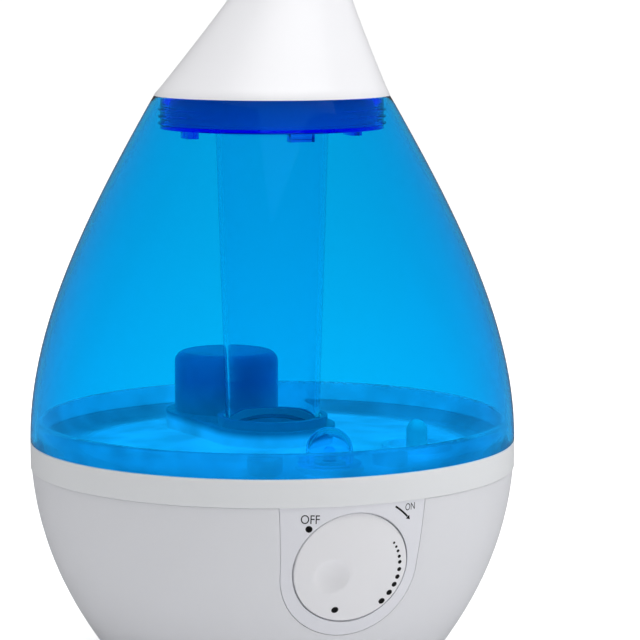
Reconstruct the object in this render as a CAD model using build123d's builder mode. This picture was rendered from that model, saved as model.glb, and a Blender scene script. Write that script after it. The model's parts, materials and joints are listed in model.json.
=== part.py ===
"""Drop-shaped ultrasonic cool mist humidifier, in millimetres.

+Z is up, the control panel faces -Y, and the origin is the centre of the footprint on
the table. The base holds the reservoir, the electronics and the fan. The clear tank
stands on it and lifts off, and the mist lid turns on the tank's neck and lifts off it.
"""

import math
import os

from build123d import *

os.makedirs("parts", exist_ok=True)

# ---------------------------------------------------------------- driving dimensions
body_radius = 108.0  # the widest part, at the joint of tank and base
seat_z = 99.0  # where the tank stands on the base
neck_z = 251.5  # where the lid stands on the tank
neck_radius = 52.2
shoulder_fullness = 1.45  # shape of the tank's outline between seat and neck
underside_z = 3.5  # flat underside of the base
underside_radius = 74.0
bowl_fullness = 0.85  # shape of the base's outline between seat and underside
band_height = 12.0  # the plain band around the top of the base

tank_wall = 2.6
base_wall = 2.6
lid_wall = 2.2
rib = 2.0  # thin inner walls and bosses
edge_round = 0.5  # rounding of the outer edges that meet at a seam
seam_gap = 0.25  # between the control panel and the bowl
turn_gap = 0.3  # between faces that turn or slide past each other
bond_gap = 0.15  # glue line between welded tank pieces
running_gap = 0.05  # shaft in its bush

seam_z = seat_z - band_height

# ---------------------------------------------------------------------- places
air_duct = (-6.0, 48.0)  # the fan and its duct, behind the chimney
light_y = -74.0  # the night-light dome, behind the control panel
fill_place = (53.0, -41.0)  # the fill neck and its cap
float_place = (-50.0, -16.0)
peg_places = [(-28.0, -72.0), (28.0, -72.0)]
knob_z = 58.7
knob_tilt = 15.0  # degrees that the knob faces below the horizontal


def tank_controls(inset):
    """Control points of the tank's outline, moved in by inset."""
    height = neck_z - seat_z
    drop = body_radius - neck_radius
    wide = body_radius - inset
    return [
        (wide, seat_z),
        (wide, seat_z + height / 3),
        (wide - drop * shoulder_fullness / 3, seat_z + height * 2 / 3),
        (wide - drop, neck_z),
    ]


def tank_radius(z):
    """Outer radius of the tank at height z, the same cubic as tank_controls."""
    t = (z - seat_z) / (neck_z - seat_z)
    share = shoulder_fullness * t**2 + (1 - shoulder_fullness) * t**3
    return body_radius - (body_radius - neck_radius) * share


def bowl_controls(inset):
    """Control points of the base's outline, moved in by inset."""
    depth = seat_z - underside_z
    drop = body_radius - underside_radius
    wide = body_radius - inset
    return [
        (wide, seat_z),
        (wide, seat_z - depth / 3),
        (wide - drop * bowl_fullness / 3, seat_z - depth * 2 / 3),
        (wide - drop, underside_z),
    ]


def bowl_radius(z):
    """Outer radius of the base at height z, the same cubic as bowl_controls."""
    s = (seat_z - z) / (seat_z - underside_z)
    share = bowl_fullness * s**2 + (1 - bowl_fullness) * s**3
    return body_radius - (body_radius - underside_radius) * share


def save(builder, name):
    """Labels a finished sub-part and writes it to its own STEP file."""
    builder.part.label = name
    export_step(builder.part, f"parts/{name}.step")


def upright_plane(centre):
    """A plane through centre whose sketch axes are the X axis and the height."""
    return Plane(origin=(centre[0], centre[1], 0), x_dir=(1, 0, 0), z_dir=(0, -1, 0))


def ring_section(points, centre=(0, 0), mode=Mode.ADD):
    """Turns a closed outline of (radius, height) points about an upright axis."""
    with BuildSketch(upright_plane(centre)) as section:
        with BuildLine():
            Polyline(*points, close=True)
        make_face()
    revolve(section.sketch, axis=Axis((centre[0], centre[1], 0), (0, 0, 1)), mode=mode)


def tube(outer, inner, low, high, centre=(0, 0), mode=Mode.ADD):
    """Adds or cuts an upright tube."""
    with BuildSketch(Plane.XY.offset(low)) as section:
        with Locations(centre):
            Circle(outer)
            Circle(inner, mode=Mode.SUBTRACT)
    extrude(section.sketch, amount=high - low, mode=mode)


def disc(radius, low, high, centres=((0, 0),), mode=Mode.ADD):
    """Adds or cuts upright cylinders at the given centres."""
    with BuildSketch(Plane.XY.offset(low)) as section:
        with Locations(*centres):
            Circle(radius)
    extrude(section.sketch, amount=high - low, mode=mode)


def block(width, depth, low, high, centres=((0, 0),), mode=Mode.ADD):
    """Adds or cuts upright boxes at the given centres."""
    with BuildSketch(Plane.XY.offset(low)) as section:
        with Locations(*centres):
            Rectangle(width, depth)
    extrude(section.sketch, amount=high - low, mode=mode)


def bowl_solid(inset):
    """The base's outline turned into a solid, up to the seam under the band."""
    with BuildPart() as bowl:
        with BuildSketch(Plane.XZ):
            with BuildLine():
                side = Bezier(*bowl_controls(inset))
                foot = Line(side @ 1, (0, underside_z))
                middle = Line(foot @ 1, (0, seat_z))
                Line(middle @ 1, side @ 0)
            make_face()
        revolve(axis=Axis.Z)
        split(bisect_by=Plane.XY.offset(seam_z), keep=Keep.BOTTOM)
    return bowl.part


# ------------------------------------------------------------------ tank: chimney
collar_depth = 12.5
collar_wall = 2.0
collar_radius = neck_radius - tank_wall - bond_gap
collar_floor_z = neck_z - collar_depth  # top of the collar's floor
chimney_top_radius = 25.0
chimney_foot_radius = 21.0
chimney_wall = 2.0
chimney_flange = 2.6
chimney_foot_z = 105.8
chimney_top_z = collar_floor_z - collar_wall
foot_bore = chimney_foot_radius - chimney_wall
top_bore = chimney_top_radius - chimney_wall

with BuildPart() as mist_chimney:
    ring_section(
        [
            (foot_bore, chimney_foot_z),
            (chimney_foot_radius, chimney_foot_z),
            (chimney_top_radius, chimney_top_z - rib),
            (chimney_top_radius + chimney_flange, chimney_top_z - rib),
            (chimney_top_radius + chimney_flange, chimney_top_z),
            (top_bore, chimney_top_z),
        ]
    )
save(mist_chimney, "mist_chimney")

# -------------------------------------------------------------------- tank: shell
with BuildPart() as tank_shell:
    with BuildSketch(Plane.XZ):
        with BuildLine():
            outer_line = Bezier(*tank_controls(0))
            inner_line = Bezier(*tank_controls(tank_wall))
            Line(outer_line @ 0, inner_line @ 0)
            Line(outer_line @ 1, inner_line @ 1)
        make_face()
    revolve(axis=Axis.Z)
    fillet(tank_shell.edges().group_by(Axis.Z)[0].sort_by(SortBy.LENGTH)[-1], edge_round)
save(tank_shell, "tank_shell")

# ------------------------------------------------------------------- tank: collar
collar_rib_height = 1.0
collar_rib_pitch = 3.0
collar_rib_reach = 0.9
lug_reach = 38.0
lug_length = 5.0
lug_width = 11.0
lug_height = 4.0

with BuildPart() as tank_collar:
    well_radius = collar_radius - collar_wall
    ring_section(
        [
            (top_bore, chimney_top_z),
            (collar_radius, chimney_top_z),
            (collar_radius, neck_z),
            (well_radius, neck_z),
            (well_radius, collar_floor_z),
            (top_bore, collar_floor_z),
        ]
    )
    for step in range(3):
        low = collar_floor_z + step * collar_rib_pitch
        rib_radius = collar_radius + collar_rib_reach
        tube(rib_radius, collar_radius - rib / 2, low, low + collar_rib_height)
    with PolarLocations(lug_reach, 4):
        with Locations((0, 0, chimney_top_z - lug_height / 2)):
            Box(lug_length, lug_width, lug_height)
save(tank_collar, "tank_collar")

# -------------------------------------------------------------------- tank: floor
floor_wall = 2.4
floor_centre_z = 99.4  # top of the floor beside the platform
floor_edge_z = 95.9  # top of the floor where the cove starts
floor_edge_inset = 16.0  # from the widest part to where the cove starts
floor_edge_radius = body_radius - floor_edge_inset
skirt_top_z = 109.0
skirt_radius = tank_radius(skirt_top_z) - tank_wall - bond_gap
platform_radius = 28.0
platform_top_z = 105.0
socket_top_z = 109.0
socket_radius = chimney_foot_radius + 3.6
hood_radius = 24.0
hood_top_z = 132.0
hood_round = 5.0
hood_wall = 2.2
peg_radius = 7.5
peg_top_z = 102.4
light_pad_radius = 14.5
light_pad_z = 98.0
light_hole_radius = 8.2
neck_outer = 15.5
neck_bore = 13.0
neck_low_z = 83.6
fill_rim_z = 99.4
under_all_z = 80.0  # below everything that is cut from the floor's underside

cove_radius = skirt_radius - floor_edge_radius
tunnel_middle = (air_duct[0] / 2, air_duct[1] / 2)
tunnel_length = math.hypot(*air_duct)
tunnel_angle = math.degrees(math.atan2(air_duct[1], air_duct[0]))
cove_centre_z = floor_edge_z - floor_wall + cove_radius

with BuildPart() as tank_floor:
    with BuildSketch(Plane.XZ):
        with BuildLine():
            edge_low = (floor_edge_radius, floor_edge_z - floor_wall)
            under = Line((0, floor_centre_z - floor_wall), edge_low)
            cove_out = RadiusArc(under @ 1, (skirt_radius, cove_centre_z), -cove_radius)
            wall_out = Line(cove_out @ 1, (skirt_radius, skirt_top_z))
            lip = Line(wall_out @ 1, (skirt_radius - floor_wall, skirt_top_z))
            wall_in = Line(lip @ 1, (skirt_radius - floor_wall, cove_centre_z))
            edge_top = (floor_edge_radius, floor_edge_z)
            cove_in = RadiusArc(wall_in @ 1, edge_top, cove_radius - floor_wall)
            top = Line(cove_in @ 1, (0, floor_centre_z))
            Line(top @ 1, under @ 0)
        make_face()
    revolve(axis=Axis.Z)
    # the raised air tunnel from the fan duct to the chimney, and the hood over the duct
    with BuildSketch(Plane.XY.offset(floor_edge_z)):
        with Locations(tunnel_middle):
            SlotCenterToCenter(tunnel_length, 2 * platform_radius, rotation=tunnel_angle)
    extrude(amount=platform_top_z - floor_edge_z)
    platform_top = tank_floor.faces().filter_by(Axis.Z).sort_by(Axis.Z)[-1]
    fillet(platform_top.outer_wire().edges(), 1.6)
    disc(hood_radius, floor_edge_z, hood_top_z, (air_duct,))
    fillet(tank_floor.faces().sort_by(Axis.Z)[-1].edges(), hood_round)
    disc(socket_radius, floor_edge_z, socket_top_z)
    # pegs, the pad under the light dome, and the fill neck
    disc(peg_radius, floor_edge_z - 1, peg_top_z, peg_places)
    disc(light_pad_radius, floor_edge_z - 1.5, light_pad_z, ((0, light_y),))
    disc(neck_outer, neck_low_z, fill_rim_z, (fill_place,))
    # hollows, all open from below
    tunnel_height = platform_top_z - floor_wall - under_all_z
    with BuildSketch(Plane.XY.offset(under_all_z)):
        with Locations(tunnel_middle):
            SlotCenterToCenter(
                tunnel_length, 2 * (platform_radius - floor_wall), rotation=tunnel_angle
            )
    extrude(amount=tunnel_height, mode=Mode.SUBTRACT)
    cut = Mode.SUBTRACT
    disc(hood_radius - hood_wall, under_all_z, hood_top_z - hood_wall, (air_duct,), cut)
    disc(foot_bore, under_all_z, socket_top_z + 1, mode=cut)
    disc(chimney_foot_radius + 0.9, chimney_foot_z - 0.2, socket_top_z + 1, mode=cut)
    disc(peg_radius - rib, under_all_z, peg_top_z - rib, peg_places, cut)
    disc(light_hole_radius, under_all_z, light_pad_z + 1, ((0, light_y),), cut)
    disc(neck_bore, neck_low_z - 1, fill_rim_z + 1, (fill_place,), cut)
save(tank_floor, "tank_floor")

with BuildPart() as chimney_seal:
    seal_low = chimney_foot_z + 0.8
    tube(chimney_foot_radius + 0.85, chimney_foot_radius + 0.2, seal_low, seal_low + 2)
save(chimney_seal, "chimney_seal")

# --------------------------------------------------------------- tank: light dome
dome_radius = 10.0
dome_wall = 1.5
dome_flange_radius = 13.5
dome_flange_height = 1.6
dome_straight = 5.0

with BuildPart() as light_dome:
    dome_step_z = light_pad_z + dome_flange_height
    dome_spring_z = dome_step_z + dome_straight
    tube(dome_flange_radius, dome_radius - dome_wall, light_pad_z, dome_step_z, (0, light_y))
    disc(dome_radius, dome_step_z, dome_spring_z, ((0, light_y),))
    with Locations((0, light_y, dome_spring_z)):
        Sphere(dome_radius)
        Sphere(dome_radius - dome_wall, mode=Mode.SUBTRACT)
    inside_dome = dome_radius - dome_wall
    disc(inside_dome, light_pad_z - 5, dome_spring_z, ((0, light_y),), Mode.SUBTRACT)
save(light_dome, "light_dome")

# ------------------------------------------------------------- tank: cap and valve
cap_inner = neck_outer + 0.3
cap_outer = cap_inner + 1.8
cap_low_z = 80.0
cap_floor_top_z = 82.0
cap_top_z = 91.5
cap_grips = 16
rod_radius = 2.0
guide_radius = 4.0
guide_top_z = 83.8
flow_hole_radius = 1.9
flow_hole_reach = 7.0
valve_travel = 6.0
stem_foot_z = 74.1
stem_foot_height = 1.3
stem_foot_radius = 4.4
valve_seal_radius = 9.8
valve_seal_low_z = cap_floor_top_z + valve_travel + 0.1
valve_seal_height = 1.9
stem_plate_height = 1.4
nub_radius = 4.6
nub_top_z = 110.0

with BuildPart() as tank_cap:
    tube(cap_outer, cap_inner, cap_low_z, cap_top_z, fill_place)
    disc(cap_outer, cap_low_z, cap_floor_top_z, (fill_place,))
    disc(guide_radius, cap_low_z, guide_top_z, (fill_place,))
    with Locations(fill_place):
        with PolarLocations(cap_outer, cap_grips):
            with Locations((0, 0, (cap_low_z + cap_top_z) / 2)):
                Box(1.2, 1.8, cap_top_z - cap_low_z - 2)
    disc(rod_radius + running_gap, cap_low_z - 1, guide_top_z + 1, (fill_place,), Mode.SUBTRACT)
    with BuildSketch(Plane.XY.offset(cap_low_z - 1)):
        with Locations(fill_place):
            with PolarLocations(flow_hole_reach, 8):
                Circle(flow_hole_radius)
    extrude(amount=4, mode=Mode.SUBTRACT)
save(tank_cap, "tank_cap")

with BuildPart() as cap_seal:
    tube(neck_outer, neck_bore + 0.4, cap_floor_top_z, neck_low_z, fill_place)
save(cap_seal, "cap_seal")

with BuildPart() as valve_stem:
    stem_plate_z = valve_seal_low_z + valve_seal_height
    nub_round_z = nub_top_z - nub_radius
    disc(rod_radius, stem_foot_z, stem_plate_z, (fill_place,))
    disc(stem_foot_radius, stem_foot_z, stem_foot_z + stem_foot_height, (fill_place,))
    disc(valve_seal_radius + 0.6, stem_plate_z, stem_plate_z + stem_plate_height, (fill_place,))
    disc(nub_radius, stem_plate_z, nub_round_z, (fill_place,))
    with Locations((fill_place[0], fill_place[1], nub_round_z)):
        Sphere(nub_radius)
save(valve_stem, "valve_stem")

with BuildPart() as valve_seal:
    seal_top_z = valve_seal_low_z + valve_seal_height
    tube(valve_seal_radius, guide_radius + 0.4, valve_seal_low_z, seal_top_z, fill_place)
save(valve_seal, "valve_seal")

spring_wire = 0.35
spring_radius = 3.1

with BuildPart() as valve_spring:
    spring_low_z = stem_foot_z + stem_foot_height + spring_wire + 0.05
    spring_height = cap_low_z - spring_wire - 0.05 - spring_low_z
    with BuildLine(Plane.XY.offset(spring_low_z)):
        Helix(pitch=spring_height / 3, height=spring_height, radius=spring_radius)
    with BuildSketch(Plane(origin=(spring_radius, 0, spring_low_z), z_dir=(0, 1, 0))):
        Circle(spring_wire)
    sweep()
valve_spring.part.position = (fill_place[0], fill_place[1], 0)
save(valve_spring, "valve_spring")

# ---------------------------------------------------------------------------- lid
lid_z = neck_z + 0.2
lid_lean = 0.205  # sideways run of the lid's centre line for each unit of height
lid_cut_height = 71.0
lid_cut_tilt = 35.0
lid_sections = [
    (0.0, neck_radius),
    (12.0, 44.7),
    (26.0, 36.4),
    (40.0, 28.4),
    (56.0, 19.9),
    (70.0, 12.9),
    (84.0, 6.3),
]
nozzle_radius = 8.4
nozzle_wall = 1.6
nozzle_depth = 9.0
spigot_wall = 2.0
spigot_depth = 6.5  # how far the lid reaches into the neck
spigot_low_z = neck_z - spigot_depth
seal_ring_wall = 1.8
guide_bore = 20.5
guide_tube_height = 20.3  # above the seat of the lid
guide_tube_top_z = lid_z + guide_tube_height

lid_tilt = math.radians(lid_cut_tilt)
lid_cut = Plane(
    origin=(lid_lean * lid_cut_height, 0, lid_z + lid_cut_height),
    x_dir=(math.cos(lid_tilt), 0, -math.sin(lid_tilt)),
    z_dir=(math.sin(lid_tilt), 0, math.cos(lid_tilt)),
)
seal_ring_outer = collar_radius - collar_wall - turn_gap
spigot_outer = seal_ring_outer - seal_ring_wall - turn_gap
spigot_inner = spigot_outer - spigot_wall


def leaning_cone(inset):
    """The lid's outline as a solid, with every radius made smaller by inset."""
    with BuildPart() as cone:
        for height, radius in lid_sections:
            with BuildSketch(Plane(origin=(lid_lean * height, 0, lid_z + height))):
                Circle(max(radius - inset, 1.0))
        loft()
    return cone.part


with BuildPart() as lid_hollow:
    add(leaning_cone(lid_wall))
    split(bisect_by=lid_cut.offset(-lid_wall), keep=Keep.BOTTOM)

with BuildPart() as mist_lid:
    add(leaning_cone(0))
    split(bisect_by=lid_cut, keep=Keep.BOTTOM)
    add(lid_hollow.part, mode=Mode.SUBTRACT)
    tube(neck_radius - 1.6, spigot_inner, lid_z, lid_z + 1.8)
    tube(spigot_outer, spigot_inner, spigot_low_z, lid_z + 1)
    tube(spigot_inner + 0.5, spigot_inner - 1.5, spigot_low_z, spigot_low_z + 1.2)
    with BuildSketch(lid_cut):
        Circle(nozzle_radius)
    extrude(amount=-nozzle_depth, mode=Mode.SUBTRACT)
save(mist_lid, "mist_lid")

with BuildPart() as mist_nozzle:
    with BuildSketch(lid_cut.offset(-nozzle_depth)):
        Circle(nozzle_radius - 0.05)
        Circle(nozzle_radius - nozzle_wall, mode=Mode.SUBTRACT)
    extrude(amount=nozzle_depth)
    with BuildSketch(lid_cut):
        Circle(nozzle_radius + 1.8)
        Circle(nozzle_radius - nozzle_wall, mode=Mode.SUBTRACT)
    extrude(amount=1.0)
save(mist_nozzle, "mist_nozzle")

with BuildPart() as lid_drip_guide:
    guide_z = spigot_low_z + 1.2
    tube(spigot_inner - 0.2, guide_bore, guide_z, guide_z + 1.6)
    tube(guide_bore + rib, guide_bore, guide_z, guide_tube_top_z)
save(lid_drip_guide, "lid_drip_guide")

with BuildPart() as lid_seal_ring:
    ring_inner = seal_ring_outer - seal_ring_wall
    tube(seal_ring_outer, ring_inner, collar_floor_z, neck_z - 0.4)
save(lid_seal_ring, "lid_seal_ring")

# ----------------------------------------------------------------- reservoir tray
deck_z = 91.5
deck_wall = 2.2
basin_radius = 85.5
basin_floor_z = 70.0
basin_under_z = basin_floor_z - deck_wall
pit_radius = 19.5
pit_floor_z = 60.0
pit_floor_wall = 4.0
pit_under_z = pit_floor_z - pit_floor_wall
disc_window = 9.0
tray_skirt_low_z = 80.0
tray_skirt_outer = bowl_radius(tray_skirt_low_z) - base_wall - turn_gap
island_size = 52.0
island_top_z = 76.0
duct_radius = 15.5
duct_top_z = 118.0
fan_hole_reach = 21.0
screw_reach = 56.0
screw_radius = 1.5
thread_radius = 1.45  # screws bite a little into their plastic bosses, drawn as a near fit
boss_radius = 4.0
light_post_radius = 6.5
light_post_top_z = 100.0
led_radius = 2.5
float_shoulder_z = 77.0
float_stem_radius = 2.5
float_stem_top_z = 93.4
ring_screw_reach = 14.6

band_inner = body_radius - base_wall
boss_places = [
    (side_x * screw_reach * math.sqrt(0.5), side_y * screw_reach * math.sqrt(0.5))
    for side_x in (-1, 1)
    for side_y in (-1, 1)
]
fan_screw_places = [
    (air_duct[0] + side_x * fan_hole_reach, air_duct[1] + side_y * fan_hole_reach)
    for side_x in (-1, 1)
    for side_y in (-1, 1)
]
ring_screw_places = [
    (ring_screw_reach * math.cos(turn), ring_screw_reach * math.sin(turn))
    for turn in (math.radians(angle) for angle in (30, 150, 270))
]

with BuildPart() as reservoir_tray:
    ring_section(
        [
            (disc_window, pit_floor_z),
            (pit_radius, pit_floor_z),
            (pit_radius, basin_floor_z),
            (basin_radius, basin_floor_z),
            (basin_radius, deck_z),
            (band_inner, deck_z),
            (band_inner, seat_z),
            (body_radius, seat_z),
            (body_radius, seam_z),
            (tray_skirt_outer, seam_z),
            (tray_skirt_outer, tray_skirt_low_z),
            (tray_skirt_outer - rib, tray_skirt_low_z),
            (tray_skirt_outer - rib, deck_z - deck_wall),
            (basin_radius + deck_wall, deck_z - deck_wall),
            (basin_radius + deck_wall, basin_under_z),
            (pit_radius + deck_wall, basin_under_z),
            (pit_radius + deck_wall, pit_under_z),
            (disc_window, pit_under_z),
        ]
    )
    outer_edges = reservoir_tray.edges().filter_by(GeomType.CIRCLE).sort_by(SortBy.RADIUS)
    fillet(outer_edges[-2:], edge_round)
    # the island that carries the fan, and the duct tower above it
    block(island_size, island_size, basin_under_z, island_top_z, (air_duct,))
    disc(duct_radius + rib, basin_floor_z, duct_top_z, (air_duct,))
    disc(duct_radius, basin_under_z - 1, duct_top_z + 1, (air_duct,), Mode.SUBTRACT)
    ring_section(
        [
            (0, basin_under_z - 1),
            (duct_radius + 6, basin_under_z - 1),
            (duct_radius + 6, basin_under_z),
            (duct_radius, basin_under_z + 6),
            (0, basin_under_z + 6),
        ],
        air_duct,
        Mode.SUBTRACT,
    )
    disc(thread_radius, basin_under_z - 1, island_top_z - 2.5, fan_screw_places, Mode.SUBTRACT)
    # the posts for the night light, the float and the tank's valve
    disc(light_post_radius, basin_under_z, light_post_top_z, ((0, light_y),))
    disc(led_radius + 0.5, basin_under_z - 1, light_post_top_z + 1, ((0, light_y),), Mode.SUBTRACT)
    disc(float_stem_radius + 2.5, basin_floor_z - 1, float_shoulder_z, (float_place,))
    disc(float_stem_radius, basin_floor_z, float_stem_top_z, (float_place,))
    disc(3.0, basin_floor_z - 1, stem_foot_z - 0.1, (fill_place,))
    # bosses for the screws that hold the bowl, and holes for the disc's clamp ring
    plate_top_z = underside_z + 2.5
    disc(boss_radius, plate_top_z, basin_under_z + 1, boss_places)
    disc(thread_radius, plate_top_z - 1, plate_top_z + 16, boss_places, Mode.SUBTRACT)
    disc(1.2, pit_under_z - 1, pit_floor_z - 1.3, ring_screw_places, Mode.SUBTRACT)
    # a gap in the skirt for the back of the control panel
    block(66, 14, tray_skirt_low_z - 1, seam_z, ((0, 4 - body_radius),), Mode.SUBTRACT)
save(reservoir_tray, "reservoir_tray")

# ------------------------------------------------------- control panel and knob
knob_radius = 24.9
knob_gap = 0.7
knob_seat_depth = 5.2  # how deep the knob's seat lies under the panel's surface
knob_seat_wall = 2.4
knob_back_gap = 0.4
knob_face_rise = 0.3  # height of the face's middle over the panel's surface
knob_edge_drop = 2.6  # depth of the face's edge under the panel's surface
dimple_radius = 8.4
dimple_depth = 2.0
dimple_reach = 10.6
dimple_angle = 194.7
panel_top_half = 32.6
panel_waist_half = 30.2
shaft_radius = 3.0
pot_radius = 8.0
pot_depth = 6.4

tilt = math.radians(knob_tilt)
knob_out = (0, -math.cos(tilt), -math.sin(tilt))
knob_plane = Plane(origin=(0, -bowl_radius(knob_z), knob_z), x_dir=(1, 0, 0), z_dir=knob_out)


def panel_outline(margin):
    """The control panel's outline seen from the front, pulled out to a solid."""
    waist = panel_waist_half + margin
    top = panel_top_half + margin
    with BuildPart() as outline:
        with BuildSketch(Plane.XZ.offset(60)):
            with BuildLine():
                left = Line((-top, seam_z + 5), (-waist, knob_z))
                bottom = ThreePointArc((-waist, knob_z), (0, knob_z - waist), (waist, knob_z))
                right = Line((waist, knob_z), (top, seam_z + 5))
                Line(right @ 1, left @ 0)
            make_face()
        extrude(amount=60)
    return outline.part


with BuildPart() as bowl_hollow:
    add(bowl_solid(base_wall))
    split(bisect_by=Plane.XY.offset(plate_top_z), keep=Keep.TOP)

with BuildPart() as control_panel:
    add(bowl_solid(0))
    add(bowl_hollow.part, mode=Mode.SUBTRACT)
    add(panel_outline(0), mode=Mode.INTERSECT)
    with BuildSketch(knob_plane.offset(-knob_seat_depth - knob_seat_wall)):
        Circle(knob_radius + knob_gap + 1.6)
    extrude(amount=knob_seat_wall + 1.2)
    with BuildSketch(knob_plane.offset(-knob_seat_depth)):
        Circle(knob_radius + knob_gap)
    extrude(amount=20, mode=Mode.SUBTRACT)
    with BuildSketch(knob_plane):
        Circle(shaft_radius + 0.4)
    extrude(amount=-20, mode=Mode.SUBTRACT)
save(control_panel, "control_panel")

with BuildPart() as control_knob:
    knob_low = -knob_seat_depth + knob_back_gap
    face_bow = knob_face_rise + knob_edge_drop
    face_radius = (knob_radius**2 + face_bow**2) / (2 * face_bow)
    with BuildSketch(knob_plane.offset(knob_low)):
        Circle(knob_radius)
    extrude(amount=knob_face_rise - knob_low)
    dome_centre = knob_plane.from_local_coords(Vector(0, 0, knob_face_rise - face_radius))
    with Locations(dome_centre):
        Sphere(face_radius, mode=Mode.INTERSECT)
    fillet(control_knob.edges().sort_by(Axis(knob_plane.origin, knob_out))[-1], 0.5)
    ball = (dimple_radius**2 + dimple_depth**2) / (2 * dimple_depth)
    dimple_x = dimple_reach * math.cos(math.radians(dimple_angle))
    dimple_y = dimple_reach * math.sin(math.radians(dimple_angle))
    face_there = math.sqrt(face_radius**2 - dimple_reach**2) - face_radius + knob_face_rise
    ball_z = face_there - dimple_depth + ball
    with Locations(knob_plane.from_local_coords(Vector(dimple_x, dimple_y, ball_z))):
        Sphere(ball, mode=Mode.SUBTRACT)
    with BuildSketch(knob_plane.offset(knob_low - 1)):
        Circle(shaft_radius)
    extrude(amount=3.4, mode=Mode.SUBTRACT)
save(control_knob, "control_knob")

with BuildPart() as knob_shaft:
    pot_front = -knob_seat_depth - knob_seat_wall
    with BuildSketch(knob_plane.offset(pot_front - pot_depth + 1.6)):
        Circle(shaft_radius)
    extrude(amount=knob_low + 2.4 - (pot_front - pot_depth + 1.6))
save(knob_shaft, "knob_shaft")

with BuildPart() as potentiometer:
    with BuildSketch(knob_plane.offset(pot_front - pot_depth)):
        Circle(pot_radius)
        with Locations((0, -pot_radius)):
            Rectangle(11, 5)
    extrude(amount=pot_depth)
    with BuildSketch(knob_plane.offset(pot_front - pot_depth + 1.4)):
        Circle(shaft_radius + running_gap)
    extrude(amount=20, mode=Mode.SUBTRACT)
    with BuildSketch(knob_plane.offset(pot_front - 3)):
        with Locations((-4, -12), (0, -12), (4, -12)):
            Rectangle(1.2, 4)
    extrude(amount=0.6)
save(potentiometer, "potentiometer")

# --------------------------------------------------------------------- base bowl
gland_z = 19.0
gland_radius = 6.0
gland_bore = 3.4
gland_length = 13.0
intake_y = 30.0
intake_radius = 16.0
foot_reach = 53.0
foot_radius = 6.5
foot_angles = (22.0, 158.0, 202.0, 338.0)
grille_bar = 2.0
grille_pitch = 5.0

gland_y = bowl_radius(gland_z)
foot_places = [
    (foot_reach * math.cos(turn), foot_reach * math.sin(turn))
    for turn in (math.radians(angle) for angle in foot_angles)
]
driver_places = [(-25.0, -36.0), (25.0, -36.0), (-25.0, -10.0), (25.0, -10.0)]
power_places = [(28.0, 4.0), (44.0, 4.0), (28.0, 20.0)]

with BuildPart() as base_shell:
    add(bowl_solid(0))
    add(bowl_hollow.part, mode=Mode.SUBTRACT)
    fillet(base_shell.edges().group_by(Axis.Z)[-1].sort_by(SortBy.LENGTH)[-1], edge_round)
    add(panel_outline(seam_gap), mode=Mode.SUBTRACT)
    board_post = 6.0
    disc(2.6, plate_top_z - 0.5, plate_top_z + board_post, driver_places)
    disc(2.6, plate_top_z - 0.5, plate_top_z + board_post, power_places)
    disc(0.9, plate_top_z, plate_top_z + board_post + 1, driver_places, Mode.SUBTRACT)
    disc(0.9, plate_top_z, plate_top_z + board_post + 1, power_places, Mode.SUBTRACT)
    disc(intake_radius, underside_z - 1, plate_top_z + 1, ((0, intake_y),), Mode.SUBTRACT)
    disc(intake_radius + 2.5, underside_z - 1, underside_z + 1.2, ((0, intake_y),), Mode.SUBTRACT)
    disc(screw_radius + 0.3, underside_z - 1, plate_top_z + 1, boss_places, Mode.SUBTRACT)
    disc(3.2, underside_z - 1, underside_z + 1.0, boss_places, Mode.SUBTRACT)
    disc(2.55, underside_z - 1, plate_top_z + 1, foot_places, Mode.SUBTRACT)
    with BuildSketch(Plane.XZ.offset(-gland_y + 20)):
        with Locations((0, gland_z)):
            Circle(gland_radius)
    extrude(amount=-40, mode=Mode.SUBTRACT)
save(base_shell, "base_shell")

with BuildPart() as cord_gland:
    gland_front = Plane.XZ.offset(-gland_y + gland_length - 6)
    with BuildSketch(gland_front):
        with Locations((0, gland_z)):
            Circle(gland_radius - 0.02)
    extrude(amount=-gland_length)
    with BuildSketch(gland_front):
        with Locations((0, gland_z)):
            Circle(gland_bore)
    extrude(amount=-gland_length, mode=Mode.SUBTRACT)
save(cord_gland, "cord_gland")

with BuildPart() as intake_grille:
    disc(intake_radius + 2.4, underside_z, underside_z + 1.2, ((0, intake_y),))
    tube(intake_radius - 0.2, intake_radius - rib, underside_z, plate_top_z, (0, intake_y))
    bars = int(intake_radius / grille_pitch)
    slots = [(0, intake_y + step * grille_pitch) for step in range(-bars + 1, bars)]
    gap = grille_pitch - grille_bar
    block(2 * intake_radius - 14, gap, underside_z - 1, underside_z + 2, slots, Mode.SUBTRACT)
save(intake_grille, "intake_grille")

with BuildPart() as intake_filter:
    disc(intake_radius - rib - 0.2, underside_z + 1.3, plate_top_z, ((0, intake_y),))
save(intake_filter, "intake_filter")

with BuildPart() as rubber_feet:
    disc(foot_radius, 0, underside_z, foot_places)
    disc(2.5, underside_z - 0.5, plate_top_z - 0.2, foot_places)
    fillet(rubber_feet.edges().group_by(Axis.Z)[0], 0.8)
save(rubber_feet, "rubber_feet")

with BuildPart() as base_screws:
    disc(2.9, underside_z + 0.2, underside_z + 1.0, boss_places)
    disc(thread_radius, underside_z + 1.0, underside_z + 14, boss_places)
    block(2.6, 0.7, underside_z - 1, underside_z + 0.6, boss_places, Mode.SUBTRACT)
    block(0.7, 2.6, underside_z - 1, underside_z + 0.6, boss_places, Mode.SUBTRACT)
save(base_screws, "base_screws")

# --------------------------------------------------------------- ultrasonic disc
disc_radius = 10.0
disc_thickness = 1.2
seal_radius = 12.4
seal_depth = 3.4
ring_outer = 17.4
ring_wall = 2.2

with BuildPart() as transducer_seal:
    seal_low_z = pit_under_z - seal_depth
    groove_z = seal_low_z + (seal_depth - disc_thickness) / 2
    tube(seal_radius, disc_window - 1, seal_low_z, pit_under_z)
    tube(disc_radius, disc_window - 2, groove_z, groove_z + disc_thickness, mode=Mode.SUBTRACT)
save(transducer_seal, "transducer_seal")

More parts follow.
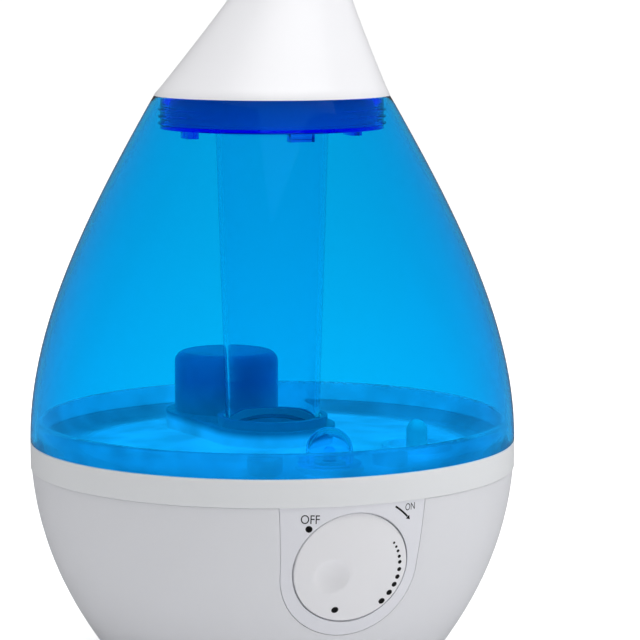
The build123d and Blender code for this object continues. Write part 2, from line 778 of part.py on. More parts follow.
with BuildPart() as transducer_disc:
    disc(disc_radius, groove_z, groove_z + disc_thickness)
save(transducer_disc, "transducer_disc")

with BuildPart() as transducer_ring:
    ring_low_z = seal_low_z - ring_wall
    tube(ring_outer, seal_radius + 0.05, seal_low_z, pit_under_z)
    tube(ring_outer, disc_window - 1.5, ring_low_z, seal_low_z)
    disc(1.5, ring_low_z - 1, pit_under_z + 1, ring_screw_places, Mode.SUBTRACT)
save(transducer_ring, "transducer_ring")

with BuildPart() as transducer_screws:
    disc(2.6, ring_low_z - 1.6, ring_low_z, ring_screw_places)
    disc(1.2, ring_low_z, pit_floor_z - 1.5, ring_screw_places)
    block(3.2, 0.7, ring_low_z - 2, ring_low_z - 0.9, ring_screw_places, Mode.SUBTRACT)
save(transducer_screws, "transducer_screws")

# ----------------------------------------------------------------- float and switch
float_radius = 12.0
float_bore = float_stem_radius + 0.4
float_height = 9.0
float_travel = 6.0
magnet_outer = 6.4
magnet_inner = 3.8
magnet_height = 4.0

with BuildPart() as float_ring:
    float_top_z = float_shoulder_z + float_height
    tube(float_radius, float_bore, float_shoulder_z, float_top_z, float_place)
    fillet(float_ring.edges().group_by(Axis.Z)[-1].sort_by(SortBy.LENGTH)[-1], 1.0)
    magnet_z = float_shoulder_z + 2
    magnet_top_z = magnet_z + magnet_height
    tube(magnet_outer, magnet_inner, magnet_z, float_top_z + 1, float_place, Mode.SUBTRACT)
    tube(magnet_outer, magnet_inner, magnet_top_z + 0.1, float_top_z, float_place)
save(float_ring, "float_ring")

with BuildPart() as float_magnet:
    tube(magnet_outer - 0.05, magnet_inner + 0.05, magnet_z, magnet_top_z, float_place)
save(float_magnet, "float_magnet")

with BuildPart() as float_clip:
    clip_z = float_top_z + float_travel + 0.1
    tube(5.4, float_stem_radius, clip_z, clip_z + 1.0, float_place)
save(float_clip, "float_clip")

with BuildPart() as reed_switch:
    block(15, 5, basin_under_z - 4, basin_under_z, (float_place,))
    with Locations(Location((float_place[0], float_place[1], basin_under_z - 5.4), (0, 90, 0))):
        Cylinder(1.5, 13)
save(reed_switch, "reed_switch")

# ----------------------------------------------------------------------- the fan
fan_size = 50.0
fan_height = 15.0
fan_low_z = basin_under_z - fan_height
fan_bore = 23.0
blade_reach = 21.8
hub_radius = 12.0
hub_wall = 1.4
fan_shaft_radius = 1.5
blades = 7
blade_thickness = 1.3
blade_tilt = 38.0

with BuildPart() as fan_frame:
    block(fan_size, fan_size, fan_low_z, basin_under_z, (air_duct,))
    fillet(fan_frame.edges().filter_by(Axis.Z), 3.5)
    disc(fan_bore, fan_low_z - 1, basin_under_z + 1, (air_duct,), Mode.SUBTRACT)
    with BuildSketch(Plane.XY.offset(fan_low_z)):
        with Locations(air_duct):
            Circle(hub_radius - 1)
            with PolarLocations(hub_radius + 5, 3, start_angle=90):
                Rectangle(16, 3.5)
    extrude(amount=2)
    disc(fan_shaft_radius + 1.6, fan_low_z, fan_low_z + 9, (air_duct,))
    bush = fan_shaft_radius + running_gap
    disc(bush, fan_low_z + 0.8, fan_low_z + 10, (air_duct,), Mode.SUBTRACT)
    disc(1.7, fan_low_z - 1, basin_under_z + 1, fan_screw_places, Mode.SUBTRACT)
save(fan_frame, "fan_frame")

with BuildPart() as fan_motor:
    windings_low_z = fan_low_z + 2.0
    tube(9.4, fan_shaft_radius + 1.65, windings_low_z, windings_low_z + 7, air_duct)
save(fan_motor, "fan_motor")

with BuildPart() as fan_impeller:
    hub_low_z = fan_low_z + 2.8
    hub_top_z = fan_low_z + 13.0
    disc(hub_radius, hub_low_z, hub_top_z, (air_duct,))
    with Locations(air_duct):
        with PolarLocations((hub_radius + blade_reach) / 2 - 0.6, blades):
            with Locations(Location((0, 0, (hub_low_z + hub_top_z) / 2), (blade_tilt, 0, 0))):
                Box(blade_reach - hub_radius + 1.2, blade_thickness, 10.5)
    inside = hub_radius - hub_wall
    disc(inside, hub_low_z - 1, hub_top_z - hub_wall, (air_duct,), Mode.SUBTRACT)
    boss_low_z = fan_low_z + 9.6
    disc(3.4, boss_low_z, hub_top_z - 0.5, (air_duct,))
    disc(fan_shaft_radius, boss_low_z - 1, hub_top_z - 0.6, (air_duct,), Mode.SUBTRACT)
save(fan_impeller, "fan_impeller")

with BuildPart() as fan_shaft:
    disc(fan_shaft_radius, fan_low_z + 1.0, hub_top_z - 0.6, (air_duct,))
save(fan_shaft, "fan_shaft")

with BuildPart() as fan_screws:
    disc(2.8, fan_low_z - 1.8, fan_low_z, fan_screw_places)
    disc(thread_radius, fan_low_z, island_top_z - 3, fan_screw_places)
    block(3.6, 0.8, fan_low_z - 3, fan_low_z - 1, fan_screw_places, Mode.SUBTRACT)
    block(0.8, 3.6, fan_low_z - 3, fan_low_z - 1, fan_screw_places, Mode.SUBTRACT)
save(fan_screws, "fan_screws")

# ------------------------------------------------------------------- electronics
board_thickness = 1.6
board_z = plate_top_z + board_post
board_top_z = board_z + board_thickness

with BuildPart() as driver_board:
    block(58, 34, board_z, board_top_z, ((0, -23),))
    disc(1.4, board_z - 1, board_top_z + 1, driver_places, Mode.SUBTRACT)
save(driver_board, "driver_board")

with BuildPart() as driver_coil:
    tube(8, 3.2, board_top_z, board_top_z + 2, (-12, -24))
    tube(6.6, 3.2, board_top_z + 2, board_top_z + 12, (-12, -24))
    tube(8, 3.2, board_top_z + 12, board_top_z + 14, (-12, -24))
save(driver_coil, "driver_coil")

with BuildPart() as board_capacitors:
    disc(4, board_top_z, board_top_z + 12, ((2, -16), (2, -30)))
    disc(5, board_top_z, board_top_z + 16, ((37, 13),))
save(board_capacitors, "board_capacitors")

with BuildPart() as heat_sink:
    block(26, 3, board_top_z, board_top_z + 24, ((12, -24),))
    fins = [(1.0 + 3.6 * step, -19.5) for step in range(7)]
    block(1.4, 6.4, board_top_z + 4, board_top_z + 24, [(x, y) for x, y in fins if x > 6.5])
save(heat_sink, "heat_sink")

with BuildPart() as driver_transistor:
    block(10, 4.4, board_top_z + 3, board_top_z + 18, ((14, -27.7),))
    block(1, 0.7, board_top_z, board_top_z + 3, ((11.5, -28), (14, -28), (16.5, -28)))
save(driver_transistor, "driver_transistor")

with BuildPart() as power_board:
    block(24, 26, board_z, board_top_z, ((36, 12),))
    disc(1.4, board_z - 1, board_top_z + 1, power_places, Mode.SUBTRACT)
save(power_board, "power_board")

with BuildPart() as board_screws:
    board_screw_places = driver_places + power_places
    disc(2.2, board_top_z, board_top_z + 1.4, board_screw_places)
    disc(0.85, board_z - 5, board_top_z, board_screw_places)
save(board_screws, "board_screws")

transformer_place = (-34.0, 15.0)

with BuildPart() as transformer_core:
    block(30, 30, plate_top_z, plate_top_z + 32, (transformer_place,))
    block(20, 40, plate_top_z + 7, plate_top_z + 25, (transformer_place,), Mode.SUBTRACT)
    block(10, 30, plate_top_z, plate_top_z + 32, (transformer_place,))
save(transformer_core, "transformer_core")

with BuildPart() as transformer_coil:
    block(19.6, 40, plate_top_z + 7.2, plate_top_z + 24.8, (transformer_place,))
    fillet(transformer_coil.edges().filter_by(Axis.Z), 3)
    block(10.2, 30.4, plate_top_z, plate_top_z + 32, (transformer_place,), Mode.SUBTRACT)
save(transformer_coil, "transformer_coil")

with BuildPart() as led_board:
    led_board_z = basin_under_z - board_thickness
    block(18, 14, led_board_z, basin_under_z, ((0, light_y),))
save(led_board, "led_board")

with BuildPart() as led_bulb:
    led_low_z = light_post_top_z - 1
    disc(led_radius + 0.4, led_low_z, led_low_z + 1, ((0, light_y),))
    disc(led_radius, led_low_z, led_low_z + 5, ((0, light_y),))
    with Locations((0, light_y, led_low_z + 5)):
        Sphere(led_radius)
    block(0.6, 0.6, basin_under_z, led_low_z, ((-1.27, light_y), (1.27, light_y)))
save(led_bulb, "led_bulb")


def wire(name, points, radius):
    """A round wire along a smooth line through points, saved as its own sub-part."""
    with BuildPart() as strand:
        with BuildLine() as line:
            Spline(*points)
        start = line.line @ 0
        with BuildSketch(Plane(origin=start, z_dir=line.line % 0)):
            Circle(radius)
        sweep()
    save(strand, name)


wire_radius = 1.0
wire_low_z = board_top_z + wire_radius
disc_path = [(-20, -11, wire_low_z), (-18, -8, 32), (-8, -3, 44), (-3, 0, 53)]
fan_path = [(18, -11, wire_low_z), (20, 2, 28), (15, 22, 42), (11, 28, 51.5)]
knob_path = [(8, -36, wire_low_z), (5, -58, 24), (0, -78, 36), (0, -85, 50)]
wire("disc_wire", disc_path, wire_radius)
wire("fan_wire", fan_path, wire_radius)
wire("knob_wire", knob_path, wire_radius)
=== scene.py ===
import json
import logging
import math
from dataclasses import dataclass, field
from enum import Enum
from typing import Any

import bpy
from mathutils import Matrix, Vector

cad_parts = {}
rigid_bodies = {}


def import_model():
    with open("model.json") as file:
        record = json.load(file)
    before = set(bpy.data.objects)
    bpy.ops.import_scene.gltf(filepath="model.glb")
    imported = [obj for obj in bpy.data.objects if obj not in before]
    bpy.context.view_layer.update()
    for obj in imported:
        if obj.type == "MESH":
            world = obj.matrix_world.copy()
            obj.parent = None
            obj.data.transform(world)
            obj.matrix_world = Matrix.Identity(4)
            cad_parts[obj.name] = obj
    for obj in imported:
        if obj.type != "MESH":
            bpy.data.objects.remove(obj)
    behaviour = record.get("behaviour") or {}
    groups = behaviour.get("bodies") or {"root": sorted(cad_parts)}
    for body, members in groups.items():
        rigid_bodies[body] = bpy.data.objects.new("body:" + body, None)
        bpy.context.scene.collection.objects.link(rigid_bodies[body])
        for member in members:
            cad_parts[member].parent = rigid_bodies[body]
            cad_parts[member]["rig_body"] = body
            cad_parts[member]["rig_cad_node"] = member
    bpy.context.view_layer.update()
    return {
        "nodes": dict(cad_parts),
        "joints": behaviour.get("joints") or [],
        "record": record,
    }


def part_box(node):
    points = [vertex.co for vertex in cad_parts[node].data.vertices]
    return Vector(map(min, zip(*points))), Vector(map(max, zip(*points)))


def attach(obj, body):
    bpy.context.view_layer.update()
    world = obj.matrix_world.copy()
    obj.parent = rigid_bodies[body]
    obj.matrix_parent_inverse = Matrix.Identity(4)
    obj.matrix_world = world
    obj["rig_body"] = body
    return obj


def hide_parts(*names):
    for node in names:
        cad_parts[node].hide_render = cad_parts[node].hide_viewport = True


log = logging.getLogger("humidifier")
MM = 0.001
# a Mix node's socket numbers when it mixes colours, and when it mixes numbers
MIX_FACTOR, MIX_COLOUR_A, MIX_COLOUR_B, MIX_COLOUR_OUT = 0, 6, 7, 2
MIX_NUMBER_A, MIX_NUMBER_B = 2, 3


# ------------------------------------------------------------------ node helpers
def linear(hex_colour: str) -> tuple[float, float, float, float]:
    """Turns an sRGB hex colour into linear red, green, blue and alpha.

    Args:
        hex_colour: Six hex digits, such as "c9ccd1".

    Returns:
        The four linear numbers, with alpha 1.
    """
    parts = [int(hex_colour[at : at + 2], 16) / 255 for at in (0, 2, 4)]
    turned = [p / 12.92 if p <= 0.04045 else ((p + 0.055) / 1.055) ** 2.4 for p in parts]
    return (turned[0], turned[1], turned[2], 1.0)


def add_node(
    tree: bpy.types.NodeTree,
    kind: str,
    values: dict[Any, Any] | None = None,
    links: dict[Any, Any] | None = None,
    **settings: Any,
) -> bpy.types.Node:
    """Adds one node with its settings, socket values and incoming links.

    Args:
        tree: The node tree that gets the node.
        kind: The node's type name.
        values: Socket name or number to its plain value.
        links: Socket name or number to the output that feeds it.
        settings: The node's own properties.

    Returns:
        The new node.
    """
    node = tree.nodes.new(kind)
    for name, value in settings.items():
        setattr(node, name, value)
    for socket, value in (values or {}).items():
        node.inputs[socket].default_value = value
    for socket, source in (links or {}).items():
        tree.links.new(source, node.inputs[socket])
    return node


def blank_material(name: str) -> tuple[bpy.types.Material, bpy.types.NodeTree]:
    """Makes an empty node material and returns it with its tree."""
    material = bpy.data.materials.new(name)
    material.use_nodes = True
    material.node_tree.nodes.clear()
    return material, material.node_tree


# ---------------------------------------------------------------------- finishes
@dataclass(frozen=True)
class MouldedPlastic:
    """An opaque injection-moulded plastic: even colour, a very fine orange-peel skin
    and slight changes of gloss where it has been handled.

    Attributes:
        name: The material's name.
        colour: Its sRGB hex colour.
        roughness: Its mean roughness.
        grain_mm: Size of the mould texture's grains.
        bump_mm: Height of the grains.
        tone: How far the colour drifts over the piece, 0 to 1.
        coat: Weight of a clear gloss over it.
    """

    name: str
    colour: str
    roughness: float
    grain_mm: float = 0.6
    bump_mm: float = 0.01
    tone: float = 0.015
    coat: float = 0.0

    def material(self) -> bpy.types.Material:
        """Builds the material."""
        material, tree = blank_material(self.name)
        place = add_node(tree, "ShaderNodeTexCoord")
        # handling marks are centimetres wide, the mould's grain is under a millimetre
        smears = add_node(
            tree,
            "ShaderNodeTexNoise",
            {"Scale": 1 / (28 * MM), "Detail": 3.0, "Roughness": 0.6},
            {"Vector": place.outputs["Object"]},
        )
        grain = add_node(
            tree,
            "ShaderNodeTexNoise",
            {"Scale": 1 / (self.grain_mm * MM), "Detail": 2.0},
            {"Vector": place.outputs["Object"]},
        )
        base = linear(self.colour)
        darker = tuple(c * (1 - self.tone) for c in base[:3]) + (1.0,)
        colour = add_node(
            tree,
            "ShaderNodeMix",
            {MIX_COLOUR_A: darker, MIX_COLOUR_B: base},
            {MIX_FACTOR: smears.outputs["Fac"]},
            data_type="RGBA",
        )
        gloss = add_node(
            tree,
            "ShaderNodeMapRange",
            {"To Min": max(self.roughness - 0.02, 0.02), "To Max": self.roughness + 0.03},
            {"Value": smears.outputs["Fac"]},
        )
        skin = add_node(
            tree,
            "ShaderNodeBump",
            {"Strength": 0.25, "Distance": self.bump_mm * MM},
            {"Height": grain.outputs["Fac"]},
        )
        surface = add_node(
            tree,
            "ShaderNodeBsdfPrincipled",
            {"IOR": 1.5, "Coat Weight": self.coat, "Coat Roughness": 0.08},
            {
                "Base Color": colour.outputs[MIX_COLOUR_OUT],
                "Roughness": gloss.outputs["Result"],
                "Normal": skin.outputs["Normal"],
            },
        )
        add_node(tree, "ShaderNodeOutputMaterial", links={"Surface": surface.outputs["BSDF"]})
        return material


@dataclass(frozen=True)
class ClearPlastic:
    """A transparent tinted plastic: polished, with the faint waviness of a moulding,
    darker where it is thicker. Lamps reach through it, tinted.

    Attributes:
        name: The material's name.
        lets_through: sRGB hex colour of white light after one wall of it.
        wall_mm: The wall that lets_through is for.
        lamp_through: sRGB hex colour of a lamp's light after one wall of it.
        glare: sRGB hex colour of its straight-on reflections.
        roughness: Its roughness.
        ior: Its index of refraction.
        wave_mm: Height of the moulding's waviness.
        at_faces: The share of the tint that doesn't depend on the wall.
    """

    name: str
    lets_through: str
    wall_mm: float
    lamp_through: str = "b4e8fc"
    glare: str = "3c90e0"
    roughness: float = 0.015
    ior: float = 1.22
    wave_mm: float = 0.015
    at_faces: float = 0.6

    def absorption(self) -> tuple[float, tuple[float, float, float, float]]:
        """Density and colour of a Volume Absorption that gives the rest of lets_through."""
        passed = [p ** (1 - self.at_faces) for p in linear(self.lets_through)[:3]]
        loss = [-math.log(max(p, 0.004)) / (self.wall_mm * MM) for p in passed]
        density = max(loss) * 1.02
        return density, tuple(1 - one / density for one in loss) + (1.0,)

    def material(self) -> bpy.types.Material:
        """Builds the material."""
        material, tree = blank_material(self.name)
        place = add_node(tree, "ShaderNodeTexCoord")
        waves = add_node(
            tree,
            "ShaderNodeTexNoise",
            {"Scale": 1 / (34 * MM), "Detail": 1.0},
            {"Vector": place.outputs["Object"]},
        )
        # rubbing leaves patches a few centimetres wide with a little less gloss
        rub = add_node(
            tree,
            "ShaderNodeMapRange",
            {
                "From Min": 0.4,
                "From Max": 0.8,
                "To Min": self.roughness,
                "To Max": self.roughness + 0.02,
            },
            {"Value": waves.outputs["Fac"]},
        )
        skin = add_node(
            tree,
            "ShaderNodeBump",
            {"Strength": 0.5, "Distance": self.wave_mm * MM},
            {"Height": waves.outputs["Fac"]},
        )
        glass = add_node(
            tree,
            "ShaderNodeBsdfPrincipled",
            {
                "IOR": self.ior,
                "Transmission Weight": 1.0,
                "Base Color": (*(p**self.at_faces for p in linear(self.lets_through)[:3]), 1),
                "Specular Tint": linear(self.glare),
            },
            {"Roughness": rub.outputs["Result"], "Normal": skin.outputs["Normal"]},
        )
        # half a wall's tint at each face, so that lamps reach through in its colour
        tint = tuple(math.sqrt(c) for c in linear(self.lamp_through)[:3]) + (1.0,)
        lamp = add_node(tree, "ShaderNodeBsdfTransparent", {"Color": tint})
        path = add_node(tree, "ShaderNodeLightPath")
        surface = add_node(
            tree,
            "ShaderNodeMixShader",
            links={
                0: path.outputs["Is Shadow Ray"],
                1: glass.outputs["BSDF"],
                2: lamp.outputs["BSDF"],
            },
        )
        density, colour = self.absorption()
        inside = add_node(tree, "ShaderNodeVolumeAbsorption", {"Color": colour, "Density": density})
        add_node(
            tree,
            "ShaderNodeOutputMaterial",
            links={"Surface": surface.outputs["Shader"], "Volume": inside.outputs["Volume"]},
        )
        return material


@dataclass(frozen=True)
class CloudyPlastic:
    """A tinted plastic with painted light and shade in its colour: painted bright low down, as if
    lit from above, and painted darker where the moulding stands up into the shade.

    Attributes:
        name: The material's name.
        tint_and_painted_shade_levels: Heights in millimetres and the sRGB hex colour at each, from
            low to high; the colours are its tint with painted light and shade.
        clear: How much of it is seen through, 0 to 1.
        roughness: Its mean roughness.
        glow: Strength of its painted glow in its own colour, a stand-in for light scattered inside
            that comes out again.
        glare: sRGB hex colour of its straight-on reflections.
        rim_starts_mm: Distance from the axis where the milky part ends.
        rim_ends_mm: Distance from the axis where the thin rim is at its clearest.
        rim_clear: How much of the rim is seen through, 0 to 1.
        rim_painted_glow: The painted glow of the rim.
    """

    name: str
    tint_and_painted_shade_levels: tuple[tuple[float, str], ...]
    clear: float = 0.2
    roughness: float = 0.22
    glow: float = 0.5
    glare: str = "58b4f0"
    rim_starts_mm: float = 84.0
    rim_ends_mm: float = 91.0
    rim_clear: float = 0.85
    rim_painted_glow: float = 0.19

    def material(self) -> bpy.types.Material:
        """Builds the material."""
        material, tree = blank_material(self.name)
        place = add_node(tree, "ShaderNodeTexCoord")
        parts = add_node(tree, "ShaderNodeSeparateXYZ", links={0: place.outputs["Object"]})
        low, high = self.tint_and_painted_shade_levels[0][0], self.tint_and_painted_shade_levels[-1][0]
        share = add_node(
            tree,
            "ShaderNodeMapRange",
            {"From Min": low * MM, "From Max": high * MM},
            {"Value": parts.outputs["Z"]},
        )
        # the outer rim is thin and clear, however high it reaches
        flat = add_node(
            tree,
            "ShaderNodeVectorMath",
            {1: (1, 1, 0)},
            {0: place.outputs["Object"]},
            operation="MULTIPLY",
        )
        reach = add_node(
            tree, "ShaderNodeVectorMath", links={0: flat.outputs["Vector"]}, operation="LENGTH"
        )
        inner = add_node(
            tree,
            "ShaderNodeMapRange",
            {
                "From Min": self.rim_starts_mm * MM,
                "From Max": self.rim_ends_mm * MM,
                "To Min": 1.0,
                "To Max": 0.0,
            },
            {"Value": reach.outputs["Value"]},
        )
        clear = add_node(
            tree,
            "ShaderNodeMapRange",
            {"To Min": self.rim_clear, "To Max": self.clear},
            {"Value": inner.outputs["Result"]},
        )
        # painted glow: the plastic gives off its own colour as light though it is no lamp, less at
        # the thin rim
        glow = add_node(
            tree,
            "ShaderNodeMapRange",
            {"To Min": self.rim_painted_glow, "To Max": self.glow},
            {"Value": inner.outputs["Result"]},
        )
        level = add_node(
            tree,
            "ShaderNodeMath",
            links={0: share.outputs["Result"], 1: inner.outputs["Result"]},
            operation="MULTIPLY",
        )
        # painted light and shade: the colour follows the height, painted bright low down and
        # painted darker up the moulding; the thin rim takes the low, bright colour
        ramp = add_node(tree, "ShaderNodeValToRGB", links={"Fac": level.outputs["Value"]})
        stops = ramp.color_ramp.elements
        stops[0].color = linear(self.tint_and_painted_shade_levels[0][1])
        stops[-1].color = linear(self.tint_and_painted_shade_levels[-1][1])
        for height, colour in self.tint_and_painted_shade_levels[1:-1]:
            stops.new((height - low) / (high - low)).color = linear(colour)
        # faint clouds two or three centimetres wide that make the colour lighter and darker at
        # random
        marks = add_node(
            tree,
            "ShaderNodeTexNoise",
            {"Scale": 1 / (24 * MM), "Detail": 3.0},
            {"Vector": place.outputs["Object"]},
        )
        drift = add_node(
            tree,
            "ShaderNodeMapRange",
            {"From Min": 0.35, "From Max": 0.65, "To Min": 0.78, "To Max": 1.08},
            {"Value": marks.outputs["Fac"]},
        )
        tinted = add_node(
            tree,
            "ShaderNodeVectorMath",
            links={0: ramp.outputs["Color"], "Scale": drift.outputs["Result"]},
            operation="SCALE",
        )
        gloss = add_node(
            tree,
            "ShaderNodeMapRange",
            {"To Min": self.roughness * 0.2, "To Max": self.roughness * 1.1},
            {"Value": inner.outputs["Result"]},
        )
        skin = add_node(
            tree,
            "ShaderNodeBump",
            {"Strength": 0.3, "Distance": 0.02 * MM},
            {"Height": marks.outputs["Fac"]},
        )
        surface = add_node(
            tree,
            "ShaderNodeBsdfPrincipled",
            {"IOR": 1.3, "Specular Tint": linear(self.glare)},
            {
                "Base Color": tinted.outputs["Vector"],
                "Emission Color": tinted.outputs["Vector"],
                "Emission Strength": glow.outputs["Result"],
                "Transmission Weight": clear.outputs["Result"],
                "Roughness": gloss.outputs["Result"],
                "Normal": skin.outputs["Normal"],
            },
        )
        add_node(tree, "ShaderNodeOutputMaterial", links={"Surface": surface.outputs["BSDF"]})
        return material


@dataclass(frozen=True)
class Metal:
    """A bare metal with fine working marks.

    Attributes:
        name: The material's name.
        colour: Its sRGB hex colour.
        roughness: Its mean roughness.
        mark_mm: Spacing of its marks.
        stretch: How much longer the marks are along X than across.
    """

    name: str
    colour: str
    roughness: float
    mark_mm: float = 0.5
    stretch: float = 1.0

    def material(self) -> bpy.types.Material:
        """Builds the material."""
        material, tree = blank_material(self.name)
        place = add_node(tree, "ShaderNodeTexCoord")
        drawn = add_node(
            tree,
            "ShaderNodeMapping",
            {"Scale": (1 / self.stretch, 1.0, 1.0)},
            {"Vector": place.outputs["Object"]},
        )
        marks = add_node(
            tree,
            "ShaderNodeTexNoise",
            {"Scale": 1 / (self.mark_mm * MM), "Detail": 4.0},
            {"Vector": drawn.outputs["Vector"]},
        )
        gloss = add_node(
            tree,
            "ShaderNodeMapRange",
            {"To Min": self.roughness * 0.75, "To Max": self.roughness * 1.3},
            {"Value": marks.outputs["Fac"]},
        )
        skin = add_node(
            tree,
            "ShaderNodeBump",
            {"Strength": 0.3, "Distance": 0.01 * MM},
            {"Height": marks.outputs["Fac"]},
        )
        surface = add_node(
            tree,
            "ShaderNodeBsdfPrincipled",
            {"Base Color": linear(self.colour), "Metallic": 1.0},
            {"Roughness": gloss.outputs["Result"], "Normal": skin.outputs["Normal"]},
        )
        add_node(tree, "ShaderNodeOutputMaterial", links={"Surface": surface.outputs["BSDF"]})
        return material


# white ABS from a polished mould: soft broad highlight
LID_ABS = MouldedPlastic("polished_white_ABS", "f3f3f6", 0.28, 0.8, 0.006)
# white ABS from a satin mould, for the bowl and band
BASE_ABS = MouldedPlastic("satin_white_ABS", "e9eaee", 0.38, 0.5, 0.012)
PANEL_ABS = MouldedPlastic("satin_white_panel_ABS", "ecedf3", 0.36, 0.5, 0.012)
DIAL_ABS = MouldedPlastic("polished_white_dial_ABS", "f2f2f5", 0.3, 0.8, 0.006)
TRAY_ABS = MouldedPlastic("white_tray_ABS", "eceef0", 0.4, 0.5, 0.012)
# blue-tinted styrene, clear and glossy
TANK_STYRENE = ClearPlastic("clear_blue_styrene", "2cc7eb", 2.6)
# the chimney is paler, so that it hardly darkens what stands behind it
CHIMNEY_STYRENE = ClearPlastic("pale_blue_styrene", "c8f6fd", 2.0)
# the thick collar is the deepest blue of the tank
COLLAR_STYRENE = ClearPlastic("deep_blue_styrene", "20c4ff", 2.0)
# the floor is moulded in the same blue with a milky filler; its colour is painted bright low down
# and painted darker up the moulding, and it has a painted glow
FLOOR_STYRENE = CloudyPlastic(
    "milky_blue_styrene_painted_shade_glow",
    ((93.0, "90c8e0"), (101.5, "80c0e0"), (104.5, "107898"), (120.0, "10629c"), (132.0, "106ca4")),
)
DOME_STYRENE = ClearPlastic("clear_blue_dome_styrene", "d8f4ff", 1.5)
PRINT_INK = MouldedPlastic("black_pad_print_ink", "0b0b0d", 0.45, 0.3, 0.004, 0.2)
SILICONE = MouldedPlastic("milky_silicone_rubber", "dfe3e6", 0.5, 0.4, 0.02, 0.06)
BLACK_RUBBER = MouldedPlastic("black_rubber", "1b1b1c", 0.75, 0.4, 0.05, 0.25)
NYLON = MouldedPlastic("white_nylon", "e6ecf0", 0.35, 0.6, 0.01, 0.05)
CAP_PLASTIC = MouldedPlastic("blue_polypropylene", "1b5fa8", 0.4, 0.5, 0.02, 0.1)
BLACK_PLASTIC = MouldedPlastic("black_glass_filled_nylon", "141416", 0.5, 0.4, 0.03, 0.2)
FLOAT_FOAM = MouldedPlastic("white_closed_cell_foam", "eeeee6", 0.85, 0.9, 0.12, 0.08)
FILTER_FOAM = MouldedPlastic("grey_open_cell_foam", "3b3d40", 0.95, 1.2, 0.4, 0.4)
BOARD_RESIN = MouldedPlastic("green_glass_epoxy_board", "14532c", 0.35, 0.7, 0.01, 0.25, 0.4)
WIRE_VINYL = MouldedPlastic("red_vinyl", "a3201b", 0.35, 0.6, 0.01, 0.1)
CAN_SLEEVE = MouldedPlastic("navy_shrink_sleeve", "1c2347", 0.3, 0.5, 0.01, 0.15)
DISC_CERAMIC = MouldedPlastic("silvered_ceramic", "d8cfb4", 0.35, 0.4, 0.02, 0.12)
FERRITE = MouldedPlastic("sintered_ferrite", "3a3a3d", 0.6, 0.3, 0.03, 0.2)
ZINC_STEEL = Metal("zinc_plated_steel", "b9bcc2", 0.32)
SPRING_STEEL = Metal("bright_spring_steel", "c9cacd", 0.22)
BRASS = Metal("turned_brass", "c9a35a", 0.3, 0.25, 6.0)
ALUMINIUM = Metal("extruded_aluminium", "c3c6ca", 0.38, 0.3, 8.0)
COPPER = Metal("enamelled_copper_wire", "a85a30", 0.35, 0.35, 12.0)
CORE_IRON = Metal("laminated_steel", "6d6f74", 0.5, 0.5, 10.0)


Finish = MouldedPlastic | ClearPlastic | CloudyPlastic | Metal


class Ink:
    """Makes each finish's material once and hands it out after that.

    Attributes:
        slots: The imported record's material slot for each CAD node.
    """

    _made: dict[str, bpy.types.Material] = {}
    slots: dict[str, str] = {}

    @classmethod
    def of(cls, finish: Finish) -> bpy.types.Material:
        """Returns the finish's material."""
        if finish.name not in cls._made:
            cls._made[finish.name] = finish.material()
        return cls._made[finish.name]


# ---------------------------------------------------------------- piece helpers
class Edge(Enum):
    """How a piece's sharp edges are finished, as the bevel's width in millimetres."""

    SHARP = 0.0
    FINE = 0.15
    SOFT = 0.3


def deselect() -> None:
    """Leaves object mode with nothing selected."""
    if bpy.context.object and bpy.context.object.mode != "OBJECT":
        bpy.ops.object.mode_set(mode="OBJECT")
    bpy.ops.object.select_all(action="DESELECT")


def select_only(piece: bpy.types.Object) -> None:
    """Selects one object and makes it active."""
    deselect()
    piece.select_set(True)
    bpy.context.view_layer.objects.active = piece


def settle(piece: bpy.types.Object) -> None:
    """Puts the object at the origin with its place in its mesh."""
    select_only(piece)
    bpy.ops.object.transform_apply(location=True, rotation=True, scale=True)


def dress(piece: bpy.types.Object, finish: Finish) -> None:
    """Gives a piece one finish all over."""
    piece.data.materials.clear()
    piece.data.materials.append(Ink.of(finish))


def refined(
    node: bpy.types.Object,
    name: str,
    finish: Finish,
    edge: Edge = Edge.FINE,
    angle: float = 32.0,
) -> bpy.types.Object:
    """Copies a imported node, closes its mesh, rounds its edges and smooths it.

    Args:
        node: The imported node.
        name: The new piece's name.
        finish: Its finish.
        edge: How its sharp edges are rounded.
        angle: Faces that meet at less than this, in degrees, shade smoothly.

    Returns:
        The new piece, riding on the node's body in its place.
    """
    select_only(node)
    bpy.ops.object.duplicate()
    piece = bpy.context.object
    piece.name = name
    piece.data.name = name
    piece.parent = None
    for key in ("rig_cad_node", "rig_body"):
        if key in piece:
            del piece[key]
    bpy.ops.object.mode_set(mode="EDIT")
    bpy.ops.mesh.select_all(action="SELECT")
    bpy.ops.mesh.remove_doubles(threshold=0.002 * MM)
    bpy.ops.object.mode_set(mode="OBJECT")
    if piece.data.has_custom_normals:
        bpy.ops.mesh.customdata_custom_splitnormals_clear()
    if edge is not Edge.SHARP:
        bevel = piece.modifiers.new("rounded_edges", "BEVEL")
        bevel.width = edge.value * MM
        bevel.segments = 2
        bevel.limit_method = "ANGLE"
        bevel.angle_limit = math.radians(angle + 8)
        bevel.use_clamp_overlap = True
        bpy.ops.object.modifier_apply(modifier=bevel.name)
    bpy.ops.object.shade_smooth_by_angle(angle=math.radians(angle))
    dress(piece, finish)
    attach(piece, node["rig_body"])
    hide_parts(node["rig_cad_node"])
    log.info("%s: %d faces, in place of %s", name, len(piece.data.polygons), node.name)
    return piece


